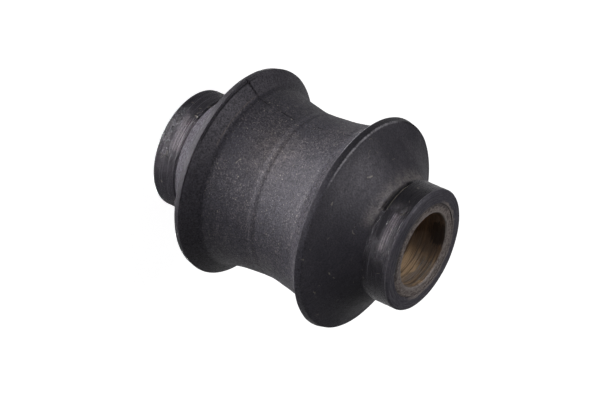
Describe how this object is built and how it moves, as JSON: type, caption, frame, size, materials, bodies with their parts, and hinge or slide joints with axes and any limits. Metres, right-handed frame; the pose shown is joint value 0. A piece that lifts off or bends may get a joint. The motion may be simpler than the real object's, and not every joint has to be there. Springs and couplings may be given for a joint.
{
  "type": "shock absorber eye bush",
  "caption": "Hourglass rubber bush with a lipped flange and a short hub at each end, bonded to a plain steel sleeve, for the eye of a shock absorber.",
  "frame": {"origin": "centre of the sleeve's lower end face, on the bush's axis", "axes": "+Z along the bore's axis, up out of the upper end; the bush is the same all round Z"},
  "size_m": [0.041, 0.041, 0.054],
  "materials": {
    "rubber": "matte moulded rubber, charcoal black, dusty, with a worn sheen on the hubs",
    "sleeve_steel": "yellow passivated, turned marks in the bore, dull pinkish grey end faces"
  },
  "bodies": {
    "root": {"rubber_bush": "rubber", "inner_sleeve": "sleeve_steel"}
  },
  "joints": []
}
